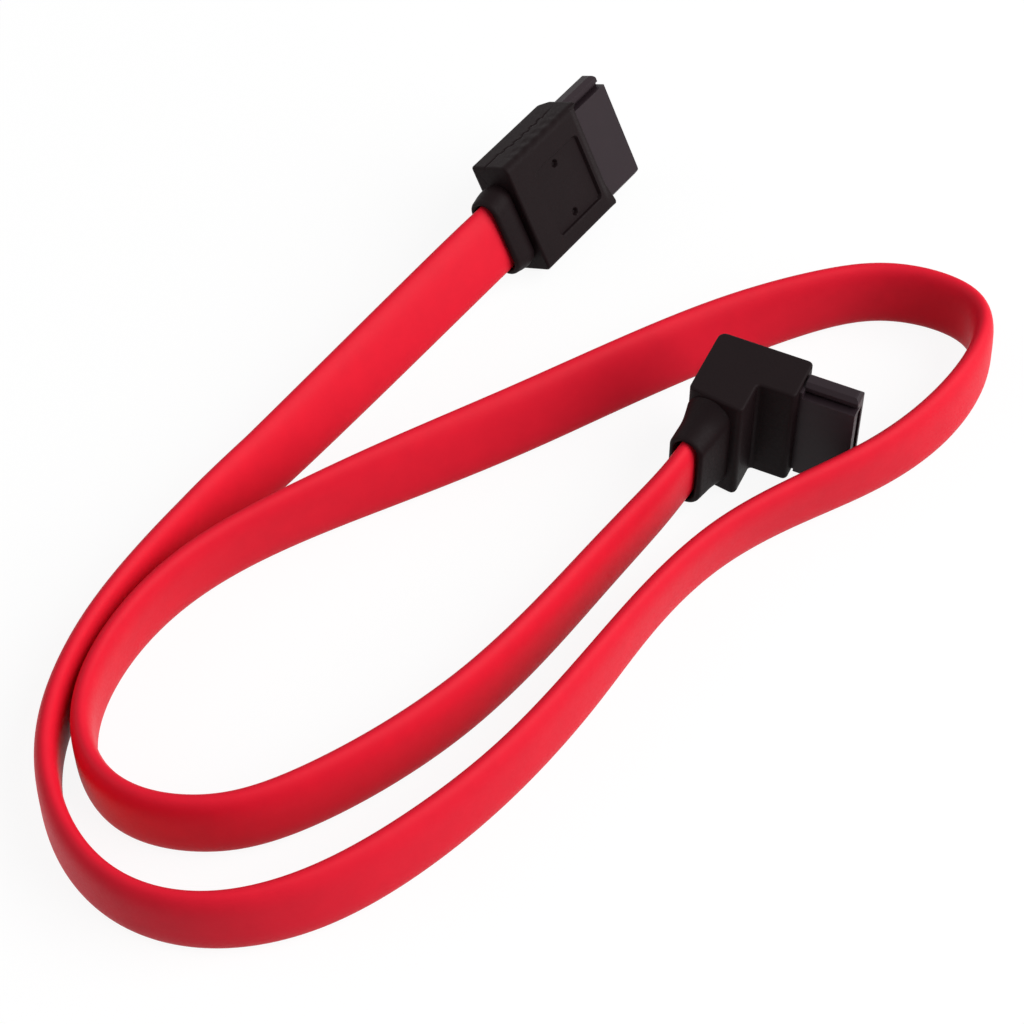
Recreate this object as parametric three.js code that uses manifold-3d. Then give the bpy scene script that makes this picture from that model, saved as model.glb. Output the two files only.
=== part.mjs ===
// A flat serial data cable, lying in one long loop, with a straight plug at one end
// and a right-angle plug at the other.
//
// Millimetres, +Z up. The origin is on the table, under the middle of the right-angle
// plug's block. Each plug is drawn in a frame of its own: X towards the socket that it
// goes into, Z along its 14 mm width with the nose's rail at +Z, and Y across its
// thickness, with the middle of the grip's front face at the origin.

import * as THREE from 'three';
import { mergeVertices } from 'three/addons/utils/BufferGeometryUtils.js';
import Module from 'manifold-3d';

const wasm = await Module();
wasm.setup();

// Space left between pieces that touch in the real cable.
const GAP = 0.25;

// Flat cable: jacket, and the two shielded pairs inside it.
const JACKET = { width: 8.8, thick: 2.4, facets: 4 };
const PAIR = { width: 3.2, thick: 1.3, spread: 2.1, facets: 2 };
const CABLE_STEPS = 76;

// Keeps the cable's edge from dipping under the table between two points of its route.
const EDGE_CLEAR = 0.02;

// Grips of the plugs.
const GRIP = { thick: 5.7, round: 0.5, bevel: 0.3 };
const STRAIGHT_GRIP = { length: 14.2, width: 14.4 };
const ANGLED_GRIP = { length: 11, width: 14 };
const LEG = { width: 6.6, reach: 6.8, jacketEnd: 3.7, x: -8.3, slant: 8.2 };
const PANEL = { length: 8.3, width: 8.9, fromFront: 2.1, z: -0.5, depth: 0.4, round: 0.5 };

// Oval collar around the cable where it leaves a grip.
// A round end's radius falls short of half the thickness by the flat.
const COLLAR = { width: 11.8, thick: 4.8, z: -0.4, bevel: 0.3, root: 0.8, taper: 0.86, flat: 0.05 };
const STRAIGHT_COLLAR_LENGTH = 3.5;
const ANGLED_COLLAR_LENGTH = 4.9;

// Insulator with the L-shaped slot. Y is across the thickness, Z along the width.
// The nose stands in front of the grip, and its narrower tail is inside it.
const NOSE = { reach: 6.4, low: -7, high: 6.9, front: -1.45, back: 1.45, round: 0.3, corner: 0.6 };
const TAIL = { reach: 6.5, width: 12.6 };
const RAIL = { low: 5.45, step: 0.85, round: 0.45, grooveWidth: 0.4, grooveDepth: 1.25 };
const SLOT = { low: -5.75, high: 4.8, front: -0.3, back: 0.9, depth: 6.8 };
const KEY = { width: 1.3, front: -0.9 };

// Contacts, each a spring in a groove of the slot's wall, and the hole it passes behind it.
const CONTACT = { count: 7, pitch: 1.27, width: 0.5, thick: 0.25, middle: 0.18, y: -0.48 };
const GROOVE = { width: 0.9, bottom: -0.8, fromTip: 0.4 };
const HOLE_TOP = -0.13;
const SPRING = [[-0.2, 0], [1.2, 0.03], [2.4, 0.3], [3.4, 0.62], [4.1, 0.62], [5.1, 0.1]];
const TAIL_END = -8.8;

// Wire ends inside each grip: radius, distance from the middle of their pair, and how
// far a shared contact's two drain wires lie from the contact's middle.
const SIGNAL_WIRE = { radius: 0.35, fromPair: 0.6 };
const DRAIN_WIRE = { radius: 0.18, fromPair: 1.42, apart: 0.33 };
const WIRE_END = -7;
const WIRE_STEPS = 5;
const WIRE_SIDES = 6;

// First straight stretch of the wires in each plug, how far they bend out of it, and how far
// before or below the tails they turn forward.
const WIRE_RUN = { straight: 1.2, angled: 0.5, bend: 0.1, before: 0.4, below: 0.35 };
const CHAMBER = { width: 10.6, front: -1.6, back: 1.6 };
const JACKET_INSIDE = 1.7;

// How far a cutting solid runs past the face it opens, or into the hollow it joins.
const PAST = 1;
const INTO = 0.1;

// Places of the plugs on the table.
const STRAIGHT = { x: -26.9, y: 28.8, yaw: 54, lean: 27 };
const ANGLED_YAW = -25;

const degrees = THREE.MathUtils.degToRad;

const pvc = () => new THREE.MeshStandardMaterial({ color: 0xd62135, roughness: 0.5, metalness: 0 });
const moulding = () => new THREE.MeshStandardMaterial({ color: 0x1d181b, roughness: 0.55, metalness: 0 });
const insulator = () => new THREE.MeshStandardMaterial({ color: 0x151315, roughness: 0.4, metalness: 0 });
const gold = () => new THREE.MeshStandardMaterial({ color: 0xd8b25a, roughness: 0.3, metalness: 1 });
const foil = () => new THREE.MeshStandardMaterial({ color: 0xc4c7cb, roughness: 0.3, metalness: 1 });
const insulation = () => new THREE.MeshStandardMaterial({ color: 0xe9e4d6, roughness: 0.5, metalness: 0 });
const tinned = () => new THREE.MeshStandardMaterial({ color: 0xb9bcc0, roughness: 0.35, metalness: 1 });

// Closed geometry to a solid that can be cut and joined.
function solid(geometry) {
  geometry.deleteAttribute('normal');
  geometry.deleteAttribute('uv');
  const merged = mergeVertices(geometry, 1e-5);
  return new wasm.Manifold(new wasm.Mesh({
    numProp: 3,
    vertProperties: Float32Array.from(merged.attributes.position.array),
    triVerts: Uint32Array.from(merged.index.array),
  }));
}

// Solid to a named mesh.
function piece(name, shape, material) {
  const { vertProperties, triVerts } = shape.getMesh();
  const geometry = new THREE.BufferGeometry();
  geometry.setAttribute('position', new THREE.BufferAttribute(vertProperties, 3));
  geometry.setIndex(new THREE.BufferAttribute(triVerts, 1));
  geometry.computeVertexNormals();
  const mesh = new THREE.Mesh(geometry, material);
  mesh.name = name;
  return mesh;
}

// Rectangle with round corners, centred at (x, y).
function roundedRectangle(width, height, radius, x = 0, y = 0) {
  const [w, h] = [width / 2 - radius, height / 2 - radius];
  const shape = new THREE.Shape();
  shape.absarc(x + w, y - h, radius, -Math.PI / 2, 0);
  shape.absarc(x + w, y + h, radius, 0, Math.PI / 2);
  shape.absarc(x - w, y + h, radius, Math.PI / 2, Math.PI);
  shape.absarc(x - w, y - h, radius, Math.PI, Math.PI * 1.5);
  return shape;
}

// Prism along X between two planes, from an outline in (Y, Z), with its ends bevelled.
function prismX(outline, from, to, bevel = 0, segments = 2) {
  const geometry = extruded(outline, to - from, bevel, segments);
  const axes = new THREE.Matrix4().makeBasis(
    new THREE.Vector3(0, 1, 0), new THREE.Vector3(0, 0, 1), new THREE.Vector3(1, 0, 0));
  return solid(geometry.applyMatrix4(axes).translate(from, 0, 0));
}

// Prism along Y between two planes, from an outline in (Z, X), with its ends bevelled.
function prismY(outline, from, to, bevel = 0, segments = 2) {
  const geometry = extruded(outline, to - from, bevel, segments);
  const axes = new THREE.Matrix4().makeBasis(
    new THREE.Vector3(0, 0, 1), new THREE.Vector3(1, 0, 0), new THREE.Vector3(0, 1, 0));
  return solid(geometry.applyMatrix4(axes).translate(0, from, 0));
}

function extruded(outline, length, bevel, curveSegments) {
  return new THREE.ExtrudeGeometry(outline, {
    depth: length - 2 * bevel,
    bevelEnabled: bevel > 0,
    bevelThickness: bevel,
    bevelSize: bevel,
    bevelOffset: -bevel,
    bevelSegments: 2,
    curveSegments,
  }).translate(0, 0, bevel);
}

// Collar along Z from its root at 0 to its free end, which is smaller by the taper.
function collarStub(outline, length) {
  const geometry = extruded(outline, length, COLLAR.bevel, 3);
  const place = geometry.attributes.position;
  for (let vertex = 0; vertex < place.count; vertex += 1) {
    const scale = THREE.MathUtils.lerp(1, COLLAR.taper, place.getZ(vertex) / length);
    place.setXY(vertex, place.getX(vertex) * scale, place.getY(vertex) * scale);
  }
  return geometry;
}

// Box between two corners.
function block(low, high) {
  const size = high.map((value, axis) => value - low[axis]);
  const middle = high.map((value, axis) => (value + low[axis]) / 2);
  return solid(new THREE.BoxGeometry(...size).translate(...middle));
}

// Collar with its pocket for the jacket, along Z: the grip's face at 0, its free end at
// the length, and its width along Y. The pocket is the second solid, and runs past both ends.
function collarAndPocket(length, depth) {
  const oval = roundedRectangle(COLLAR.thick, COLLAR.width, COLLAR.thick / 2 - COLLAR.flat);
  const [width, thick] = [JACKET.width + 2 * GAP, JACKET.thick + 2 * GAP];
  const hole = roundedRectangle(thick, width, thick / 2 - COLLAR.flat);
  return [
    collarStub(oval, length + COLLAR.root).translate(0, 0, -COLLAR.root),
    extruded(hole, length + depth + PAST, 0, 3).translate(0, 0, -depth),
  ];
}

// Socket in a grip's front for the insulator, open at the front face.
function insulatorPocket() {
  return block(
    [-TAIL.reach - GAP, NOSE.front - GAP, -TAIL.width / 2 - GAP],
    [PAST, NOSE.back + GAP, TAIL.width / 2 + GAP]);
}

// Grip of the straight plug: block, sunk panel on the broad face, and collar.
function straightOvermould() {
  const rear = -STRAIGHT_GRIP.length;
  const panelMiddle = -PANEL.fromFront - PANEL.length / 2;
  const panel = roundedRectangle(PANEL.width, PANEL.length, PANEL.round, PANEL.z, panelMiddle);
  const chamberRear = rear + JACKET_INSIDE;
  // The collar's Z turns to -X, and its Y to the width.
  const toRear = new THREE.Matrix4()
    .makeBasis(new THREE.Vector3(0, 1, 0), new THREE.Vector3(0, 0, -1), new THREE.Vector3(-1, 0, 0))
    .setPosition(rear, 0, COLLAR.z);
  const [collar, pocket] = collarAndPocket(STRAIGHT_COLLAR_LENGTH, JACKET_INSIDE + INTO)
    .map((geometry) => solid(geometry.applyMatrix4(toRear)));
  return prismX(roundedRectangle(GRIP.thick, STRAIGHT_GRIP.width, GRIP.round), rear, 0, GRIP.bevel)
    .add(collar)
    .subtract(prismY(panel, -GRIP.thick / 2 - PAST, -GRIP.thick / 2 + PANEL.depth))
    .subtract(pocket)
    .subtract(block(
      [chamberRear, CHAMBER.front, -CHAMBER.width / 2],
      [-TAIL.reach, CHAMBER.back, CHAMBER.width / 2]))
    .subtract(insulatorPocket());
}

// Grip of the right-angle plug: block, cable leg towards -Y with a slanted end, and the
// collar square to that end.
function angledOvermould() {
  const rear = -ANGLED_GRIP.length;
  const legMiddle = rear + LEG.width / 2;
  const legOutline = roundedRectangle(ANGLED_GRIP.width, LEG.width, GRIP.round);
  const slope = Math.tan(degrees(LEG.slant));
  // The leg's outline lies in (Z, X), and its Y falls along X by the slant.
  const toSlant = new THREE.Matrix4()
    .makeBasis(new THREE.Vector3(0, 0, 1), new THREE.Vector3(1, -slope, 0), new THREE.Vector3(0, 1, 0))
    .setPosition(legMiddle, -LEG.reach, 0);
  const leg = solid(extruded(legOutline, LEG.reach, GRIP.bevel, 2).applyMatrix4(toSlant));
  // The collar's Z turns to -Y, and its Y to the width. Then it leans by the slant.
  const toLeg = new THREE.Matrix4()
    .makeRotationZ(degrees(-LEG.slant))
    .setPosition(LEG.x, -LEG.reach, COLLAR.z)
    .multiply(new THREE.Matrix4().makeBasis(
      new THREE.Vector3(-1, 0, 0), new THREE.Vector3(0, 0, -1), new THREE.Vector3(0, -1, 0)));
  const [collar, pocket] = collarAndPocket(ANGLED_COLLAR_LENGTH, LEG.reach - LEG.jacketEnd + INTO)
    .map((geometry) => solid(geometry.applyMatrix4(toLeg)));
  return prismX(roundedRectangle(GRIP.thick, ANGLED_GRIP.width, GRIP.round), rear, 0, GRIP.bevel)
    .add(leg)
    .add(collar)
    .subtract(pocket)
    .subtract(block(
      [LEG.x - CHAMBER.back, -LEG.jacketEnd, -CHAMBER.width / 2],
      [-TAIL.reach, CHAMBER.back, CHAMBER.width / 2]))
    .subtract(insulatorPocket());
}

// Insulator: nose with a set-back rail along its upper narrow side and round front
// corners, tail, L-shaped slot, and one groove and hole for each contact.
function housing() {
  const railFront = NOSE.front + RAIL.step;
  const outline = new THREE.Shape([
    [NOSE.front + NOSE.round, NOSE.low],
    [NOSE.back - NOSE.round, NOSE.low],
    [NOSE.back, NOSE.low + NOSE.round],
    [NOSE.back, NOSE.high - RAIL.round],
    [NOSE.back - RAIL.round, NOSE.high],
    [railFront + RAIL.round, NOSE.high],
    [railFront, NOSE.high - RAIL.round],
    [railFront, RAIL.low + RAIL.grooveWidth],
    [NOSE.front + RAIL.grooveDepth, RAIL.low + RAIL.grooveWidth],
    [NOSE.front + RAIL.grooveDepth, RAIL.low],
    [NOSE.front, RAIL.low],
    [NOSE.front, NOSE.low + NOSE.round],
  ].map(([y, z]) => new THREE.Vector2(y, z)));
  const broadSide = roundedRectangle(
    NOSE.high - NOSE.low, 2 * NOSE.reach, NOSE.corner, (NOSE.high + NOSE.low) / 2);
  const slotRear = NOSE.reach - SLOT.depth;
  let shape = prismX(outline, GAP, NOSE.reach)
    .intersect(prismY(broadSide, NOSE.front - PAST, NOSE.back + PAST))
    .add(block([-TAIL.reach, NOSE.front, -TAIL.width / 2], [GAP + INTO, NOSE.back, TAIL.width / 2]))
    .subtract(block([slotRear, SLOT.front, SLOT.low], [NOSE.reach + PAST, SLOT.back, SLOT.high]))
    .subtract(block([slotRear, KEY.front, SLOT.low], [NOSE.reach + PAST, SLOT.back, SLOT.low + KEY.width]));
  for (const z of contactPlaces()) {
    const [low, high] = [z - GROOVE.width / 2, z + GROOVE.width / 2];
    shape = shape
      .subtract(block(
        [slotRear - INTO, GROOVE.bottom, low],
        [NOSE.reach - GROOVE.fromTip, SLOT.front + INTO, high]))
      .subtract(block([-TAIL.reach - PAST, GROOVE.bottom, low], [slotRear + INTO, HOLE_TOP, high]));
  }
  return shape;
}

function contactPlaces() {
  const first = CONTACT.middle - CONTACT.pitch * (CONTACT.count - 1) / 2;
  return Array.from({ length: CONTACT.count }, (_, index) => first + index * CONTACT.pitch);
}

// Contact: a strip from its solder tail to the tip of its spring, bent in the XY plane.
function contact(z) {
  const line = [[TAIL_END, 0], ...SPRING];
  const half = CONTACT.thick / 2;
  const side = (sign) => line.map(([x, y]) => new THREE.Vector2(x, y + CONTACT.y + sign * half));
  const outline = new THREE.Shape([...side(-1), ...side(1).reverse()]);
  return solid(new THREE.ExtrudeGeometry(outline, { depth: CONTACT.width, bevelEnabled: false })
    .translate(0, 0, z - CONTACT.width / 2));
}

// Round wire along a smooth line of points.
function wire(points, radius) {
  const corners = new THREE.EllipseCurve(0, 0, radius, radius).getPoints(WIRE_SIDES);
  const section = new THREE.Shape(corners.slice(0, WIRE_SIDES));
  const path = new THREE.CatmullRomCurve3(points.map((point) => new THREE.Vector3(...point)));
  return solid(new THREE.ExtrudeGeometry(section, { steps: WIRE_STEPS, extrudePath: path }));
}

// Where each wire leaves its pair, and the contact place where it ends.
function wireEnds() {
  const z = contactPlaces();
  const [a, b] = [PAIR.spread, -PAIR.spread];
  const [s, d] = [SIGNAL_WIRE.fromPair, DRAIN_WIRE.fromPair];
  return {
    signal: [[b - s, z[1]], [b + s, z[2]], [a - s, z[4]], [a + s, z[5]]],
    drain: [[b - d, z[0]], [b + d, z[3] - DRAIN_WIRE.apart], [a - d, z[3] + DRAIN_WIRE.apart], [a + d, z[6]]],
  };
}

// Wire ends of the straight plug run forward, over the contacts' tails.
function straightWire(radius, [start, end]) {
  const from = -STRAIGHT_GRIP.length + JACKET_INSIDE + GAP;
  const over = CONTACT.y + CONTACT.thick / 2 + GAP + radius;
  return wire([
    [from, 0, COLLAR.z + start],
    [from + WIRE_RUN.straight, WIRE_RUN.bend, COLLAR.z + start],
    [TAIL_END - WIRE_RUN.before, over, end],
    [WIRE_END, over, end],
  ], radius);
}

// Wire ends of the right-angle plug come up the leg and turn forward under the tails.
function angledWire(radius, [start, end]) {
  const under = CONTACT.y - CONTACT.thick / 2 - GAP - radius;
  const from = -LEG.jacketEnd + GAP;
  const x = LEG.x + (LEG.reach - LEG.jacketEnd) * Math.tan(degrees(LEG.slant));
  return wire([
    [x, from, COLLAR.z + start],
    [x, from + WIRE_RUN.angled, COLLAR.z + start],
    [x - WIRE_RUN.bend, under - WIRE_RUN.below, end],
    [WIRE_END, under, end],
  ], radius);
}

function plug(name, overmould, wireEnd) {
  const group = new THREE.Group();
  group.add(piece(`${name}_overmould`, overmould, moulding()));
  group.add(piece(`${name}_housing`, housing(), insulator()));
  contactPlaces().forEach((z, index) => {
    group.add(piece(`${name}_contact_${index + 1}`, contact(z), gold()));
  });
  const ends = wireEnds();
  ends.signal.forEach((place, index) => {
    group.add(piece(`${name}_signal_wire_${index + 1}`, wireEnd(SIGNAL_WIRE.radius, place), insulation()));
  });
  ends.drain.forEach((place, index) => {
    group.add(piece(`${name}_drain_wire_${index + 1}`, wireEnd(DRAIN_WIRE.radius, place), tinned()));
  });
  return group;
}

// Height of each plug's own middle, when it rests on a corner or on its narrow side.
const STRAIGHT_HEIGHT = (STRAIGHT_GRIP.width / 2 - GRIP.round) * Math.cos(degrees(STRAIGHT.lean))
  + (GRIP.thick / 2 - GRIP.round) * Math.sin(degrees(STRAIGHT.lean)) + GRIP.round;
const ANGLED_HEIGHT = ANGLED_GRIP.width / 2;

// Route of the cable's middle, from inside the straight plug to inside the right-angle
// plug: x, y, how far the lower edge is above the table, and the lean in degrees, with
// the upper edge to the left of the way along where it is positive.
const ROUTE = [
  [-25.75, 30.1, 3.1, -27],
  [-28.65, 26.1, 3.05, -27],
  [-35.2, 17.85, 2.35, -27],
  [-53.1, -4.8, 0.1, -19],
  [-61.5, -15.6, 0, -8.5],
  [-68.0, -25.6, 0, -4],
  [-72.2, -35.5, 0, -2],
  [-73.5, -45.2, 0, 0],
  [-71.0, -54.5, 0, 2],
  [-64.9, -61.4, 0, 1],
  [-56.0, -63.9, 0, 3],
  [-45.9, -61.4, 0, 8],
  [-36.1, -54.9, 0, 8.5],
  [-27.1, -46.2, 0, 6],
  [-19.2, -36.0, 0, 4.5],
  [-12.4, -26.2, 0, -1],
  [-4.8, -17.7, 0, -4],
  [4.1, -11.5, 0, -4],
  [13.2, -6.1, 0, 0.5],
  [21.2, 1.0, 0, 6],
  [26.4, 9.5, 0, 4],
  [25.6, 16.4, 0, 0],
  [17.7, 19.9, 0, -2],
  [8.4, 18.5, 0, -7],
  [-2.6, 13.9, 0, -16],
  [-14.4, 7.4, 0, -18.5],
  [-26.3, 0.3, 0, -18.5],
  [-38.4, -6.5, 0, -13.5],
  [-50.2, -13.3, 0, -4],
  [-60.4, -20.8, 0, 0],
  [-67.5, -30.3, 0, 1],
  [-70.3, -41.2, 0, 0],
  [-66.4, -50.1, 0, 1],
  [-57.4, -52.9, 0, 2.5],
  [-46.6, -49.4, 0, 6.5],
  [-31.3, -37.7, 0, 7],
  [-18.2, -21.9, 0.5, 4],
  [-10.9, -13.1, 1.9, 0.5],
  [-7.3, -7.85, 2.2, 0],
  [-3.82, -2.49, 2.2, 0],
];

// Curve through the route whose frames turn with the lean, so that a flat section
// swept along it stands as the cable does: its X is up the cable's width.
class LeaningPath extends THREE.CatmullRomCurve3 {
  constructor(route) {
    const middle = route.map(([x, y, lift, lean]) => new THREE.Vector3(x, y, lift + standing(lean)));
    super(middle, false, 'catmullrom');
    this.leans = route.map((point) => point[3]);
  }

  leanAt(u) {
    const place = this.getUtoTmapping(u) * (this.leans.length - 1);
    const index = Math.min(Math.floor(place), this.leans.length - 2);
    return degrees(THREE.MathUtils.lerp(this.leans[index], this.leans[index + 1], place - index));
  }

  computeFrenetFrames(steps) {
    const frames = { tangents: [], normals: [], binormals: [] };
    for (let step = 0; step <= steps; step += 1) {
      const tangent = this.getTangentAt(step / steps);
      const left = new THREE.Vector3(-tangent.y, tangent.x, 0).normalize();
      const lean = this.leanAt(step / steps);
      const up = new THREE.Vector3(0, 0, Math.cos(lean)).addScaledVector(left, Math.sin(lean));
      const across = up.addScaledVector(tangent, -up.dot(tangent)).normalize();
      frames.tangents.push(tangent);
      frames.normals.push(across);
      frames.binormals.push(tangent.clone().cross(across));
    }
    return frames;
  }
}

// Height of the middle of the cable's section when it stands on its lower edge.
function standing(lean) {
  return (JACKET.width - JACKET.thick) / 2 * Math.cos(degrees(lean)) + JACKET.thick / 2 + EDGE_CLEAR;
}

// Flat section with round ends of so many facets, centred at x on the cable's width.
function flatSection(width, thick, facets, x = 0) {
  const straight = (width - thick) / 2;
  const points = [];
  for (const side of [1, -1]) {
    for (let facet = 0; facet <= facets; facet += 1) {
      const angle = Math.PI * (facet / facets - 0.5);
      points.push(new THREE.Vector2(
        x + side * (straight + thick / 2 * Math.cos(angle)), side * thick / 2 * Math.sin(angle)));
    }
  }
  return new THREE.Shape(points);
}

function swept(section, path) {
  return solid(new THREE.ExtrudeGeometry(section, { steps: CABLE_STEPS, extrudePath: path }));
}

// Jacket with a channel for each shielded pair, and the two pairs, open at both ends.
function cable() {
  const path = new LeaningPath(ROUTE);
  const group = new THREE.Group();
  const jacket = flatSection(JACKET.width, JACKET.thick, JACKET.facets);
  for (const [name, x] of [['a', PAIR.spread], ['b', -PAIR.spread]]) {
    jacket.holes.push(flatSection(PAIR.width + 2 * GAP, PAIR.thick + 2 * GAP, PAIR.facets, x));
    const pair = flatSection(PAIR.width, PAIR.thick, PAIR.facets, x);
    group.add(piece(`shielded_pair_${name}`, swept(pair, path), foil()));
  }
  group.add(piece('cable_jacket', swept(jacket, path), pvc()));
  return group;
}

// Straight plug: turned to its yaw, then leaned about its own long axis.
const straight = new THREE.Group();
const straightLean = plug('straight', straightOvermould(), straightWire);
straightLean.rotation.x = degrees(-STRAIGHT.lean);
straightLean.position.x = STRAIGHT_GRIP.length;
straight.add(straightLean);
straight.rotation.z = degrees(STRAIGHT.yaw);
straight.position.set(STRAIGHT.x, STRAIGHT.y, STRAIGHT_HEIGHT);

// Right-angle plug: standing on its narrow side, the middle of its block over the origin.
const angled = new THREE.Group();
const angledUpright = plug('angled', angledOvermould(), angledWire);
angledUpright.position.x = ANGLED_GRIP.length / 2;
angled.add(angledUpright);
angled.rotation.z = degrees(ANGLED_YAW);
angled.position.z = ANGLED_HEIGHT;

const dataCable = new THREE.Group();
dataCable.add(cable(), straight, angled);

export default dataCable;
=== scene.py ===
"""Flat red serial data cable in a loop, with a straight plug and a right-angle plug.

Metres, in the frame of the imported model: the origin is on the table, under the middle of
the right-angle plug's block. Each plug's pieces are drawn in a frame of their own, with X
towards the socket, Z along the plug's width and Y across its thickness.
"""

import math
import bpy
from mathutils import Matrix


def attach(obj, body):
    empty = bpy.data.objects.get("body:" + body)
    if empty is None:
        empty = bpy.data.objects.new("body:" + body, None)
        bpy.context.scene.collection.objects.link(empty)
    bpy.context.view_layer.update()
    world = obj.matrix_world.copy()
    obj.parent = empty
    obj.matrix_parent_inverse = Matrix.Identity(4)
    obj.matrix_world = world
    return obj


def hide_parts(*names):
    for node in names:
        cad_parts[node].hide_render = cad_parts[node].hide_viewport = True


bl_info = {
    "name": "Flat Serial Data Cable",
    "version": (1, 0, 0),
    "blender": (4, 5, 0),
    "location": "View3D > Sidebar > Data Cable",
    "description": "A flat red data cable lying in a loop, with a straight and a right-angle plug",
    "category": "Add Mesh",
}

import bmesh
import bpy
import numpy as np
from bpy.props import FloatProperty, FloatVectorProperty, PointerProperty
from mathutils import Matrix, Vector

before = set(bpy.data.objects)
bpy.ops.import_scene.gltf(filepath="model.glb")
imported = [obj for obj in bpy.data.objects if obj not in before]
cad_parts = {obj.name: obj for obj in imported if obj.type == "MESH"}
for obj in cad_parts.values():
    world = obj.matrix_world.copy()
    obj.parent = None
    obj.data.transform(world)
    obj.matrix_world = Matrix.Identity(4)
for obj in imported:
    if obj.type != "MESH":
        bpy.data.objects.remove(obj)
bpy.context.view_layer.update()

MM = 0.001

# Route of the cable's middle, from inside the straight plug to inside the right-angle
# plug: x, y, how far the lower edge is above the table, and the lean in degrees, with
# the upper edge to the left of the way along where it is positive.
ROUTE = [
    (-0.02575, 0.0301, 0.0031, -27),
    (-0.02865, 0.0261, 0.00305, -27),
    (-0.0352, 0.01785, 0.00235, -27),
    (-0.0531, -0.0048, 0.0001, -19),
    (-0.0615, -0.0156, 0, -8.5),
    (-0.0680, -0.0256, 0, -4),
    (-0.0722, -0.0355, 0, -2),
    (-0.0735, -0.0452, 0, 0),
    (-0.0710, -0.0545, 0, 2),
    (-0.0649, -0.0614, 0, 1),
    (-0.0560, -0.0639, 0, 3),
    (-0.0459, -0.0614, 0, 8),
    (-0.0361, -0.0549, 0, 8.5),
    (-0.0271, -0.0462, 0, 6),
    (-0.0192, -0.0360, 0, 4.5),
    (-0.0124, -0.0262, 0, -1),
    (-0.0048, -0.0177, 0, -4),
    (0.0041, -0.0115, 0, -4),
    (0.0132, -0.0061, 0, 0.5),
    (0.0212, 0.0010, 0, 6),
    (0.0264, 0.0095, 0, 4),
    (0.0256, 0.0164, 0, 0),
    (0.0177, 0.0199, 0, -2),
    (0.0084, 0.0185, 0, -7),
    (-0.0026, 0.0139, 0, -16),
    (-0.0144, 0.0074, 0, -18.5),
    (-0.0263, 0.0003, 0, -18.5),
    (-0.0384, -0.0065, 0, -13.5),
    (-0.0502, -0.0133, 0, -4),
    (-0.0604, -0.0208, 0, 0),
    (-0.0675, -0.0303, 0, 1),
    (-0.0703, -0.0412, 0, 0),
    (-0.0664, -0.0501, 0, 1),
    (-0.0574, -0.0529, 0, 2.5),
    (-0.0466, -0.0494, 0, 6.5),
    (-0.0313, -0.0377, 0, 7),
    (-0.0182, -0.0219, 0.0005, 4),
    (-0.0109, -0.0131, 0.0019, 0.5),
    (-0.0073, -0.00785, 0.0022, 0),
    (-0.00382, -0.00249, 0.0022, 0),
]

# Number of places at which the route's length is measured.
ROUTE_SAMPLES = 4000

# Camera of the photograph: the point it aims at, its distance from there in metres, its
# pitch in degrees, and its lens and the sensor's width in millimetres.
CAMERA_AIM = (-0.02674, -0.00942, 0.0)
CAMERA_DISTANCE = 0.2985
CAMERA_PITCH = 50.7
CAMERA_LENS = 94.92
CAMERA_SENSOR = 36

# Places of the plugs on the table.
STRAIGHT_CORNER = (-0.0269, 0.0288)
STRAIGHT_YAW = 54
STRAIGHT_LEAN = 27
ANGLED_YAW = -25

# Radius of the edge that the straight plug rests on, and how far the cable's edge is kept
# above the table.
REST_RADIUS = 0.5 * MM
EDGE_CLEAR = 0.02 * MM

# Panel and pits on the straight grip's broad face, as distances from its front face and
# heights over its middle.
PANEL_FRONT = -2.1 * MM
PANEL_HEIGHT = -0.5 * MM
PITS = ((-6.65 * MM, -3.95 * MM), (-6.65 * MM, 2.85 * MM))
PIT_RADIUS = 0.42 * MM
PIT_DEPTH = 0.5 * MM

# Radius of the panel's corners, the widths of the panel's and the pits' sloping walls, and
# how far under the broad face's plane a point is still taken for one of that face.
PANEL_ROUND = 0.6 * MM
PANEL_EDGE = 0.16 * MM
PIT_EDGE = 0.2 * MM
BROAD_SKIN = 0.3 * MM

# Front of the straight grip: how far its broad face falls to the nose, over what length,
# and between what heights the fall grows. The same for its back, over its whole width.
FALL_DEPTH = 0.75 * MM
FALL_LENGTH = 1.7 * MM
FALL_FADE = (-7.6 * MM, -3.8 * MM)
BACK_DEPTH = 1.3 * MM
BACK_LENGTH = 1.2 * MM

# Ridges, and the stepped parting groove, on the straight grip's upper narrow side.
RIDGE_SPACING = 1.9 * MM
STEP_SPACING = 1.5 * MM
GROOVE_DEPTH = 0.12 * MM
GROOVE_WIDTH = 0.11 * MM

# Where the ridges begin and end behind the front face, how far round towards the broad face
# and how far under the narrow side they fade.
RIDGES_START = (2.6 * MM, 3.6 * MM)
RIDGES_END = (11.5 * MM, 12.5 * MM)
RIDGE_SIDE = (0.8 * MM, 1.4 * MM)
RIDGE_TOP = (-0.9 * MM, -0.2 * MM)

# Parting line: where its groove begins, how far it drifts to the back and between what
# distances behind the front face, and the height and sharpness of its steps.
GROOVE_START = (1 * MM, 3 * MM)
PARTING_DRIFT = 0.55 * MM
DRIFT_RUN = (8 * MM, 12 * MM)
PARTING_STEP = 0.14 * MM
STEP_SHARPNESS = 4

# Where a collar leaves its grip: its thickness and width there, how far its middle lies
# above the rest of the collar's, and how far along the collar this runs out.
STRAIGHT_ROOT = (3.4 * MM, 10.4 * MM, 0.0)
ANGLED_ROOT = (5.4 * MM, 13.2 * MM, 0.4 * MM)
ROOT_SPREAD = 2.4 * MM

# Collar: how far it runs into its grip, the length of its lip, the room between its bore
# and the cable, and the share by which it narrows towards its end.
COLLAR_BURIED = 1.5 * MM
COLLAR_LIP = 0.5 * MM
BORE_CLEAR = 0.06 * MM
COLLAR_TAPER = 0.12

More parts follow.
